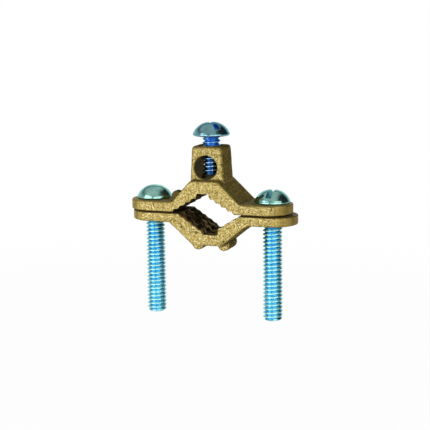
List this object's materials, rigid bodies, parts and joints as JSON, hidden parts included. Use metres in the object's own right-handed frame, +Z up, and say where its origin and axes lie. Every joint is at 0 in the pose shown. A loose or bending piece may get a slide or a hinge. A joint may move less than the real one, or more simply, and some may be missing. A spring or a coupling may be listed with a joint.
{
  "type": "earthing pipe clamp",
  "caption": "Cast bronze earthing clamp: toothed jaws are drawn together round a metal pipe by slotted screws, and a screw in the boss on top grips the earthing conductor.",
  "frame": {"origin": "middle of the pipe seat: between the two toothed grips, in the gap between the ears and at half the jaws' depth", "axes": "+X from the left ear to the right ear, +Y along the pipe with the front at -Y, +Z up towards the wire screw"},
  "size_m": [0.0558, 0.0152, 0.0627],
  "materials": {
    "cast_bronze": "sand-cast skin, unpolished",
    "zinc_plated_steel": "bright blue zinc plating"
  },
  "bodies": {
    "upper_jaw": {"upper_jaw": "cast_bronze"},
    "lower_jaw": {"lower_jaw": "cast_bronze"},
    "left_clamp_screw": {"left_clamp_screw": "zinc_plated_steel"},
    "right_clamp_screw": {"right_clamp_screw": "zinc_plated_steel"},
    "wire_screw": {"wire_screw": "zinc_plated_steel"}
  },
  "joints": [
    {"name": "left_screw_turn", "type": "hinge", "parent": "upper_jaw", "child": "left_clamp_screw", "pos_m": [-0.02035, 0, 0.0034], "axis": [0, 0, 1], "range_deg": [-108, 8280]},
    {"name": "right_screw_turn", "type": "hinge", "parent": "upper_jaw", "child": "right_clamp_screw", "pos_m": [0.01985, 0, 0.0034], "axis": [0, 0, 1], "range_deg": [-108, 8280]},
    {"name": "jaw_slide", "type": "slide", "parent": "upper_jaw", "child": "lower_jaw", "axis": [0, 0, -1], "range_m": [-0.00038, 0.0292]},
    {"name": "wire_screw_travel", "type": "slide", "parent": "upper_jaw", "child": "wire_screw", "axis": [0, 0, 1], "range_m": [-0.001, 0.0068]}
  ],
  "couplings": [
    {"joint": "left_screw_turn", "follows": "jaw_slide", "rad_per_m": 4947.4},
    {"joint": "right_screw_turn", "follows": "jaw_slide", "rad_per_m": 4947.4}
  ]
}
